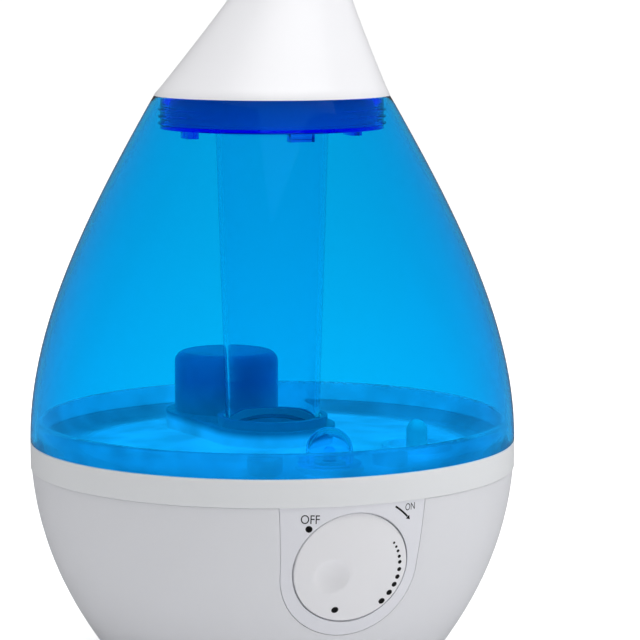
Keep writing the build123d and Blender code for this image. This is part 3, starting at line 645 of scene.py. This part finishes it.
def turned(name: str, outline: list[tuple[float, float]], segments: int) -> bpy.types.Object:
    """Turns a closed outline of (radius, height) points into a solid.

    A circle is added at the first point, then pulled from point to point and at last
    back to the start.

    Args:
        name: The new piece's name.
        outline: Its points in metres, anticlockwise with the radius to the right.
        segments: How many steps go around.

    Returns:
        The new object.
    """
    deselect()
    first_radius, first_height = outline[0]
    bpy.ops.mesh.primitive_circle_add(
        vertices=segments, radius=first_radius, location=(0, 0, first_height)
    )
    piece = bpy.context.object
    piece.name = name
    piece.data.name = name
    settle(piece)
    bpy.ops.object.mode_set(mode="EDIT")
    bpy.ops.mesh.select_all(action="SELECT")
    radius, height = first_radius, first_height
    for next_radius, next_height in [*outline[1:], outline[0]]:
        share = next_radius / radius
        bpy.ops.mesh.extrude_region_move(
            TRANSFORM_OT_translate={"value": (0, 0, next_height - height)}
        )
        bpy.ops.transform.resize(value=(share, share, 1))
        radius, height = next_radius, next_height
    bpy.ops.mesh.select_all(action="SELECT")
    bpy.ops.mesh.remove_doubles(threshold=0.01 * MM)
    bpy.ops.mesh.normals_make_consistent(inside=False)
    bpy.ops.object.mode_set(mode="OBJECT")
    return piece


# ------------------------------------------------------------------ sub-assemblies
@dataclass
class Tank:
    """The clear tank: its shell, collar, chimney, floor and light dome.

    Attributes:
        nodes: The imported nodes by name.
        fullness: Shape of the shell's outline between its foot and neck.
        wall: The shell's wall, in metres.
        foot_round: Rounding of the shell's outer foot edge, in metres.
        rings: Steps along the shell's height.
        segments: Steps around the shell.
    """

    nodes: dict[str, bpy.types.Object]
    fullness: float = 1.45
    wall: float = 2.6 * MM
    foot_round: float = 0.5 * MM
    rings: int = 44
    segments: int = 192

    def __post_init__(self) -> None:
        """Takes the shell's main sizes from the frame."""
        low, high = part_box("tank_shell")
        self.foot_z, self.neck_z = low.z, high.z
        self.widest = (high.x - low.x) / 2
        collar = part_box("tank_collar")
        self.neck_radius = (collar[1].x - collar[0].x) / 2 + self.wall - 0.75 * MM

    def radius(self, share: float, inset: float) -> float:
        """Radius of the shell at a share of its height, moved in by inset."""
        drop = self.widest - self.neck_radius
        fall = self.fullness * share**2 + (1 - self.fullness) * share**3
        return self.widest - drop * fall - inset

    def shell(self) -> None:
        """Turns the shell's wall, with its rounded foot and lip."""
        height = self.neck_z - self.foot_z
        lip = 0.4 * MM
        outline = [(self.widest - self.foot_round, self.foot_z)]
        outline.append((self.widest - self.foot_round * 0.3, self.foot_z + self.foot_round * 0.3))
        steps = [at / self.rings for at in range(self.rings + 1)]
        outer = [(self.radius(s, 0), self.foot_z + s * height) for s in steps]
        outer[0] = (self.widest, self.foot_z + self.foot_round)
        inner = [(self.radius(s, self.wall), self.foot_z + s * height) for s in reversed(steps)]
        outer[-1] = (outer[-1][0] + lip * 0.3, outer[-1][1] - lip)
        outline += outer
        outline.append((self.radius(1, lip), self.neck_z))
        outline.append((self.radius(1, self.wall - lip), self.neck_z))
        inner[0] = (inner[0][0] + lip * 0.3, inner[0][1] - lip)
        outline += inner
        piece = turned("clear_tank_wall", outline, self.segments)
        select_only(piece)
        bpy.ops.object.shade_smooth_by_angle(angle=math.radians(40))
        dress(piece, TANK_STYRENE)
        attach(piece, "tank")
        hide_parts("tank_shell")

    def build(self) -> None:
        """Builds the whole tank."""
        self.shell()
        for node, name, finish, edge in (
            ("mist_chimney", "clear_chimney_tube", CHIMNEY_STYRENE, Edge.FINE),
            ("tank_floor", "milky_tank_floor", FLOOR_STYRENE, Edge.SOFT),
            ("tank_collar", "clear_neck_collar", COLLAR_STYRENE, Edge.FINE),
            ("light_dome", "clear_light_dome", DOME_STYRENE, Edge.FINE),
            ("chimney_seal", "chimney_seal_ring", SILICONE, Edge.SHARP),
        ):
            refined(self.nodes[node], name, finish, edge)


@dataclass
class FillValve:
    """The cap under the tank's fill neck, with the spring valve in it."""

    nodes: dict[str, bpy.types.Object]

    def build(self) -> None:
        """Dresses the cap, its seal, the valve and its spring."""
        for node, name, finish, edge in (
            ("tank_cap", "fill_cap", CAP_PLASTIC, Edge.FINE),
            ("cap_seal", "fill_cap_washer", SILICONE, Edge.SHARP),
            ("valve_stem", "fill_valve_stem", NYLON, Edge.FINE),
            ("valve_seal", "fill_valve_washer", SILICONE, Edge.SHARP),
            ("valve_spring", "fill_valve_spring", SPRING_STEEL, Edge.SHARP),
        ):
            refined(self.nodes[node], name, finish, edge)


@dataclass
class Lid:
    """The leaning mist lid with its nozzle, drip guide and seal."""

    nodes: dict[str, bpy.types.Object]

    def build(self) -> None:
        """Dresses the lid's pieces."""
        for node, name, finish, edge in (
            ("mist_lid", "leaning_mist_lid", LID_ABS, Edge.SOFT),
            ("mist_nozzle", "mist_nozzle_ring", LID_ABS, Edge.FINE),
            ("lid_drip_guide", "lid_drip_funnel", LID_ABS, Edge.FINE),
            ("lid_seal_ring", "lid_seal", SILICONE, Edge.FINE),
        ):
            refined(self.nodes[node], name, finish, edge)


@dataclass
class Base:
    """The bowl, the tray with its band, and everything under the tray.

    Attributes:
        nodes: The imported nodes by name.
        pieces: What has been built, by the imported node's name.
    """

    nodes: dict[str, bpy.types.Object]
    pieces: dict[str, bpy.types.Object] = field(default_factory=dict)

    def build(self) -> None:
        """Dresses the base's pieces."""
        for node, name, finish, edge in (
            ("base_shell", "white_bowl", BASE_ABS, Edge.SOFT),
            ("reservoir_tray", "reservoir_tray_and_band", TRAY_ABS, Edge.SOFT),
            ("control_panel", "dial_panel", PANEL_ABS, Edge.FINE),
            ("control_knob", "power_dial", DIAL_ABS, Edge.SHARP),
            ("rubber_feet", "rubber_foot_pads", BLACK_RUBBER, Edge.FINE),
            ("intake_grille", "air_intake_grille", BASE_ABS, Edge.FINE),
            ("intake_filter", "air_intake_foam", FILTER_FOAM, Edge.SHARP),
            ("cord_gland", "cord_outlet_bush", BLACK_PLASTIC, Edge.SOFT),
            ("base_screws", "bowl_screws", ZINC_STEEL, Edge.FINE),
            ("float_ring", "foam_float", FLOAT_FOAM, Edge.SOFT),
            ("float_clip", "float_clip_ring", NYLON, Edge.FINE),
            ("transducer_disc", "mist_disc", DISC_CERAMIC, Edge.FINE),
            ("transducer_seal", "mist_disc_seal", SILICONE, Edge.SHARP),
            ("transducer_ring", "mist_disc_clamp", BRASS, Edge.FINE),
            ("transducer_screws", "mist_disc_screws", ZINC_STEEL, Edge.FINE),
            ("fan_frame", "fan_housing", BLACK_PLASTIC, Edge.FINE),
            ("fan_impeller", "fan_blades", BLACK_PLASTIC, Edge.FINE),
            ("fan_motor", "fan_windings", COPPER, Edge.SHARP),
            ("fan_shaft", "fan_spindle", ZINC_STEEL, Edge.SHARP),
            ("fan_screws", "fan_mount_screws", ZINC_STEEL, Edge.FINE),
            ("driver_board", "driver_circuit_board", BOARD_RESIN, Edge.SHARP),
            ("power_board", "power_circuit_board", BOARD_RESIN, Edge.SHARP),
            ("led_board", "night_light_board", BOARD_RESIN, Edge.SHARP),
            ("board_screws", "board_fixing_screws", ZINC_STEEL, Edge.FINE),
            ("driver_coil", "driver_coil_former", COPPER, Edge.FINE),
            ("board_capacitors", "capacitor_cans", CAN_SLEEVE, Edge.SOFT),
            ("heat_sink", "finned_heat_sink", ALUMINIUM, Edge.FINE),
            ("driver_transistor", "power_transistor", BLACK_PLASTIC, Edge.FINE),
            ("transformer_core", "transformer_laminations", CORE_IRON, Edge.FINE),
            ("transformer_coil", "transformer_windings", COPPER, Edge.FINE),
            ("potentiometer", "dial_potentiometer", BLACK_PLASTIC, Edge.FINE),
            ("knob_shaft", "dial_spindle", ZINC_STEEL, Edge.FINE),
            ("reed_switch", "float_reed_switch", BLACK_PLASTIC, Edge.FINE),
            ("float_magnet", "float_ring_magnet", FERRITE, Edge.SHARP),
            ("led_bulb", "night_light_bulb", DOME_STYRENE, Edge.SHARP),
            ("disc_wire", "mist_disc_wire", WIRE_VINYL, Edge.SHARP),
            ("fan_wire", "fan_lead_wire", WIRE_VINYL, Edge.SHARP),
            ("knob_wire", "dial_lead_wire", WIRE_VINYL, Edge.SHARP),
        ):
            self.pieces[node] = refined(self.nodes[node], name, finish, edge)


@dataclass
class DialPrint:
    """The black pad-printed marks on the dial and on the panel around it.

    Places are in millimetres on the dial's own plane, with X to the right and Y up, or
    as a share of the dial's radius and an angle anticlockwise from the right.

    Attributes:
        joint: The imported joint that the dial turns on.
        radius: The dial's radius.
        dot_angles: Angles of the scale's dots, from the smallest dot to the largest.
        dot_small: Radius of the smallest dot.
        dot_large: Radius of the largest dot.
        film: Height of the ink over the plastic.
        pointer_at: Share and angle of the dial's pointer dot.
        pointer_size: Radius of the pointer dot.
        off_at: Share and angle of the dot at the off end, on the panel.
        off_size: Radius of that dot.
        dashes: How many short dashes make the arrow's curved line.
        overlap: Length of a dash as a share of its step, over 1 so that no gap shows.
    """

    joint: dict[str, Any]
    radius: float = 24.9
    dot_angles: tuple[float, ...] = (30.1, 24, 17.8, 10.5, 3.3, -5.7, -14.9, -24.4, -35, -47.3)
    dot_small: float = 0.55
    dot_large: float = 1.45
    film: float = 0.02
    pointer_at: tuple[float, float] = (0.79, 253.5)
    pointer_size: float = 1.55
    off_at: tuple[float, float] = (1.11, 136.6)
    off_size: float = 1.45
    dashes: int = 9
    overlap: float = 1.15

    def plane(self) -> Matrix:
        """The dial's plane, as a matrix whose Z points out of the dial."""
        out = Vector(self.joint["axis"]).normalized()
        across = Vector((1, 0, 0))
        columns = Matrix((across, out.cross(across), out)).transposed().to_4x4()
        return Matrix.Translation(self.joint["pos_m"]) @ columns

    def around(self, share: float, angle: float) -> tuple[float, float]:
        """The point at a share of the dial's radius and an angle in degrees."""
        turn = math.radians(angle)
        reach = share * self.radius
        return reach * math.cos(turn), reach * math.sin(turn)

    def dot(
        self, centre: tuple[float, float], radius: float, corners: int = 24
    ) -> bpy.types.Object:
        """Adds one flat dot and returns it.

        Args:
            centre: Its place on the dial's plane.
            radius: Its radius.
            corners: How many corners it has.

        Returns:
            The flat dot, in the dial plane's own frame.
        """
        deselect()
        bpy.ops.mesh.primitive_circle_add(
            vertices=corners,
            radius=radius * MM,
            fill_type="TRIFAN",
            location=(centre[0] * MM, centre[1] * MM, 0),
        )
        return bpy.context.object

    def lettering(
        self, words: str, centre: tuple[float, float], width: float, height: float
    ) -> bpy.types.Object:
        """Adds one flat word of a plain switch marking.

        Args:
            words: What it says.
            centre: The middle of the word on the dial's plane.
            width: Its width.
            height: Its height.

        Returns:
            The flat word, in the dial plane's own frame.
        """
        deselect()
        bpy.ops.object.text_add(location=(0, 0, 0))
        word = bpy.context.object
        word.data.body = words
        word.data.align_x = "CENTER"
        word.data.align_y = "CENTER"
        bpy.ops.object.convert(target="MESH")
        xs = [v.co.x for v in word.data.vertices]
        ys = [v.co.y for v in word.data.vertices]
        word.scale = (width * MM / (max(xs) - min(xs)), height * MM / (max(ys) - min(ys)), 1)
        middle = ((max(xs) + min(xs)) / 2 * word.scale.x, (max(ys) + min(ys)) / 2 * word.scale.y)
        word.location = (centre[0] * MM - middle[0], centre[1] * MM - middle[1], 0)
        settle(word)
        bpy.ops.object.mode_set(mode="EDIT")
        bpy.ops.mesh.select_all(action="SELECT")
        bpy.ops.mesh.subdivide(number_cuts=2)
        bpy.ops.object.mode_set(mode="OBJECT")
        return word

    def arrow(
        self, share: float, start: float, stop: float, width: float
    ) -> list[bpy.types.Object]:
        """Adds the curved arrow that shows which way the dial turns up.

        Args:
            share: Its radius as a share of the dial's.
            start: Angle of its tail, in degrees.
            stop: Angle of its head, in degrees.
            width: The line's width.

        Returns:
            The line's dashes and the head, flat in the dial plane's own frame.
        """
        turn = (stop - start) / self.dashes
        length = abs(math.radians(turn)) * share * self.radius * self.overlap
        line = []
        for step in range(self.dashes):
            angle = start + (step + 0.5) * turn
            place = self.around(share, angle)
            deselect()
            bpy.ops.mesh.primitive_plane_add(size=1.0, location=(place[0] * MM, place[1] * MM, 0))
            dash = bpy.context.object
            dash.scale = (width * MM, length * MM, 1)
            dash.rotation_euler.z = math.radians(angle)
            settle(dash)
            line.append(dash)
        tip = self.around(share, stop - 1.5)
        head = self.dot((0, 0), width * 1.5, corners=3)
        head.rotation_euler.z = math.radians(stop + 180)
        head.location = (tip[0] * MM, tip[1] * MM, 0)
        settle(head)
        return [*line, head]

    def lay(
        self, name: str, marks: list[bpy.types.Object], ground: bpy.types.Object, body: str
    ) -> None:
        """Joins flat marks, presses them onto a surface and gives them their ink.

        Args:
            name: The new piece's name.
            marks: The flat marks.
            ground: The piece that they are printed on.
            body: The body that they ride on.
        """
        deselect()
        for mark in marks:
            mark.select_set(True)
        bpy.context.view_layer.objects.active = marks[0]
        bpy.ops.object.join()
        print_piece = bpy.context.object
        print_piece.name = name
        print_piece.data.name = name
        settle(print_piece)
        print_piece.matrix_world = self.plane()
        press = print_piece.modifiers.new("press", "SHRINKWRAP")
        press.target = ground
        press.wrap_method = "PROJECT"
        press.use_project_z = True
        press.use_negative_direction = True
        press.use_positive_direction = True
        press.wrap_mode = "ABOVE_SURFACE"
        press.offset = self.film * MM
        select_only(print_piece)
        bpy.ops.object.modifier_apply(modifier=press.name)
        settle(print_piece)
        bpy.ops.object.mode_set(mode="EDIT")
        bpy.ops.mesh.select_all(action="SELECT")
        bpy.ops.mesh.normals_make_consistent(inside=False)
        bpy.ops.object.mode_set(mode="OBJECT")
        out = Vector(self.joint["axis"])
        if sum(face.normal.dot(out) for face in print_piece.data.polygons) < 0:
            print_piece.data.flip_normals()
        dress(print_piece, PRINT_INK)
        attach(print_piece, body)
        log.info("%s: %d faces", name, len(print_piece.data.polygons))

    def build(self, dial: bpy.types.Object, panel: bpy.types.Object) -> None:
        """Prints both pieces.

        Args:
            dial: The dial.
            panel: The panel around it.
        """
        last = len(self.dot_angles) - 1
        scale = []
        for step, angle in enumerate(self.dot_angles):
            share = step / last
            size = self.dot_small + (self.dot_large - self.dot_small) * share**1.3
            scale.append(self.dot(self.around(0.84 + 0.07 * share, angle), size))
        pointer = self.dot(self.around(*self.pointer_at), self.pointer_size)
        self.lay("dial_scale_print", [*scale, pointer], dial, "knob")
        marks = [
            self.dot(self.around(*self.off_at), self.off_size),
            self.lettering("OFF", (-0.79 * self.radius, 0.93 * self.radius), 7.8, 3.8),
            self.lettering("ON", (self.radius, 1.02 * self.radius), 4.6, 3.0),
            *self.arrow(1.28, 56.0, 42.0, 0.8),
        ]
        self.lay("panel_switch_print", marks, panel, "base")


@dataclass
class Studio:
    """The pale floor, the soft lights and the camera.

    Attributes:
        distance: From the object's axis to the camera, level, in metres.
        height: The camera's height.
        azimuth: Where the camera stands, in degrees from the front, left is negative.
        aside: How far right of the axis the camera looks, in metres.
        drop: How far below level the camera looks, in degrees.
        focal: Its focal length in millimetres.
        floor_seen: How much brighter the floor looks than the light it sends back.
        dim_side: Direction, level, from which the room's light is dimmest.
        bright: Strength of the room's light from behind.
        dim: Strength of the room's light from the dim side.
        flagged: Share of the room's light that reaches reflections.
        walls_deep: How many surfaces light may cross or bounce off on its way.
    """

    distance: float = 1.281
    height: float = 0.3136
    azimuth: float = -18.9
    aside: float = 0.0212
    drop: float = 7.21
    focal: float = 163.0
    floor_seen: float = 0.52
    dim_side: tuple[float, float, float] = (-0.76, -0.65, 0.0)
    bright: float = 0.86
    dim: float = 0.14
    flagged: float = 0.15
    walls_deep: int = 24

    def camera(self) -> None:
        """Sets up the camera."""
        turn = math.radians(self.azimuth)
        stand = Vector((math.sin(turn), -math.cos(turn), 0)) * self.distance
        stand.z = self.height
        right = Vector((math.cos(turn), math.sin(turn), 0))
        level = (right * self.aside - Vector((stand.x, stand.y, 0))).normalized()
        look = level * math.cos(math.radians(self.drop))
        look.z = -math.sin(math.radians(self.drop))
        deselect()
        bpy.ops.object.camera_add(location=stand)
        camera = bpy.context.object
        camera.name = "studio_camera"
        camera.rotation_euler = look.to_track_quat("-Z", "Y").to_euler()
        camera.data.lens = self.focal
        camera.data.sensor_width = 36.0
        camera.data.clip_start = 0.01
        camera.data.clip_end = 200.0
        bpy.context.scene.camera = camera

    def floor(self) -> None:
        """Lays the pale floor, which looks brighter, directly or through clear plastic,
        than the light that it sends back, and which reflections don't show."""
        deselect()
        bpy.ops.mesh.primitive_plane_add(size=120.0, location=(0, 0, 0))
        floor = bpy.context.object
        floor.name = "studio_floor"
        material, tree = blank_material("pale_studio_floor")
        place = add_node(tree, "ShaderNodeTexCoord")
        cloud = add_node(
            tree,
            "ShaderNodeTexNoise",
            {"Scale": 3.0, "Detail": 1.0},
            {"Vector": place.outputs["Object"]},
        )
        tone = add_node(
            tree,
            "ShaderNodeMapRange",
            {"To Min": 0.55, "To Max": 0.65},
            {"Value": cloud.outputs["Fac"]},
        )
        path = add_node(tree, "ShaderNodeLightPath")
        seen = add_node(
            tree,
            "ShaderNodeMath",
            links={0: path.outputs["Is Camera Ray"], 1: path.outputs["Is Transmission Ray"]},
            operation="MAXIMUM",
        )
        glow = add_node(
            tree,
            "ShaderNodeMapRange",
            {"To Min": 0.0, "To Max": self.floor_seen},
            {"Value": seen.outputs["Value"]},
        )
        surface = add_node(
            tree,
            "ShaderNodeBsdfPrincipled",
            {
                "Base Color": linear("f6f6f7"),
                "Specular IOR Level": 0.1,
                "Emission Color": (1, 1, 1, 1),
            },
            {"Roughness": tone.outputs["Result"], "Emission Strength": glow.outputs["Result"]},
        )
        add_node(tree, "ShaderNodeOutputMaterial", links={"Surface": surface.outputs["BSDF"]})
        floor.data.materials.append(material)
        floor.visible_glossy = False

    def softbox(
        self,
        name: str,
        place: tuple[float, float, float],
        size: float,
        power: float,
    ) -> None:
        """Adds one square soft light that faces the object.

        Args:
            name: The light's name.
            place: Where it hangs, in metres.
            size: Its side, in metres.
            power: Its power, in watts.
        """
        deselect()
        bpy.ops.object.light_add(type="AREA", location=place)
        light = bpy.context.object
        light.name = name
        light.data.size = size
        light.data.energy = power
        aim = Vector((0, 0, 0.15)) - Vector(place)
        light.rotation_euler = aim.to_track_quat("-Z", "Y").to_euler()

    def air(self) -> None:
        """Fills the room with soft light, dim from the front left and bright behind."""
        world = bpy.data.worlds.new("studio_air")
        bpy.context.scene.world = world
        world.use_nodes = True
        tree = world.node_tree
        tree.nodes.clear()
        place = add_node(tree, "ShaderNodeTexCoord")
        facing = add_node(
            tree,
            "ShaderNodeVectorMath",
            {1: self.dim_side},
            {0: place.outputs["Generated"]},
            operation="DOT_PRODUCT",
        )
        fall = add_node(
            tree,
            "ShaderNodeMapRange",
            {"From Min": -0.3, "From Max": 0.9, "To Min": self.bright, "To Max": self.dim},
            {"Value": facing.outputs["Value"]},
            interpolation_type="SMOOTHSTEP",
        )
        # the room looks plain white, both directly and through clear plastic
        path = add_node(tree, "ShaderNodeLightPath")
        seen = add_node(
            tree,
            "ShaderNodeMath",
            links={0: path.outputs["Is Camera Ray"], 1: path.outputs["Is Transmission Ray"]},
            operation="MAXIMUM",
        )
        # black flags keep the room's glare off the gloss
        flagged = add_node(
            tree,
            "ShaderNodeMapRange",
            {"To Min": 1.0, "To Max": self.flagged},
            {"Value": path.outputs["Is Glossy Ray"]},
        )
        lit = add_node(
            tree,
            "ShaderNodeMath",
            links={0: fall.outputs["Result"], 1: flagged.outputs["Result"]},
            operation="MULTIPLY",
        )
        strength = add_node(
            tree,
            "ShaderNodeMix",
            {MIX_NUMBER_B: 1.0},
            {MIX_FACTOR: seen.outputs["Value"], MIX_NUMBER_A: lit.outputs["Value"]},
            data_type="FLOAT",
        )
        glow = add_node(
            tree,
            "ShaderNodeBackground",
            {"Color": (1, 1, 1, 1)},
            {"Strength": strength.outputs["Result"]},
        )
        add_node(tree, "ShaderNodeOutputWorld", links={"Surface": glow.outputs["Background"]})

    def build(self) -> None:
        """Builds the studio."""
        self.camera()
        self.floor()
        self.air()
        self.softbox("overhead_softbox", (0.08, -0.25, 1.6), 1.5, 19.0)
        scene = bpy.context.scene
        scene.view_settings.view_transform = "Standard"
        scene.view_settings.look = "None"
        # light crosses many walls of clear plastic on its way, with two faces to each
        scene.cycles.max_bounces = self.walls_deep
        scene.cycles.transmission_bounces = self.walls_deep
        scene.cycles.transparent_max_bounces = self.walls_deep


def main() -> None:
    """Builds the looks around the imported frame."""
    logging.basicConfig(level=logging.INFO, format="%(name)s: %(message)s")
    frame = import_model()
    nodes = frame["nodes"]
    Ink.slots = {row["node"]: row["material_slot"] for row in frame["record"]["subparts"]}
    Studio().build()
    base = Base(nodes)
    for part in (Tank(nodes), FillValve(nodes), Lid(nodes), base):
        part.build()
        log.info("%s built", type(part).__name__)
    dial_joint = next(joint for joint in frame["joints"] if joint["name"] == "knob_turn")
    DialPrint(dial_joint).build(base.pieces["control_knob"], base.pieces["control_panel"])


if __name__ == "__main__":
    main()
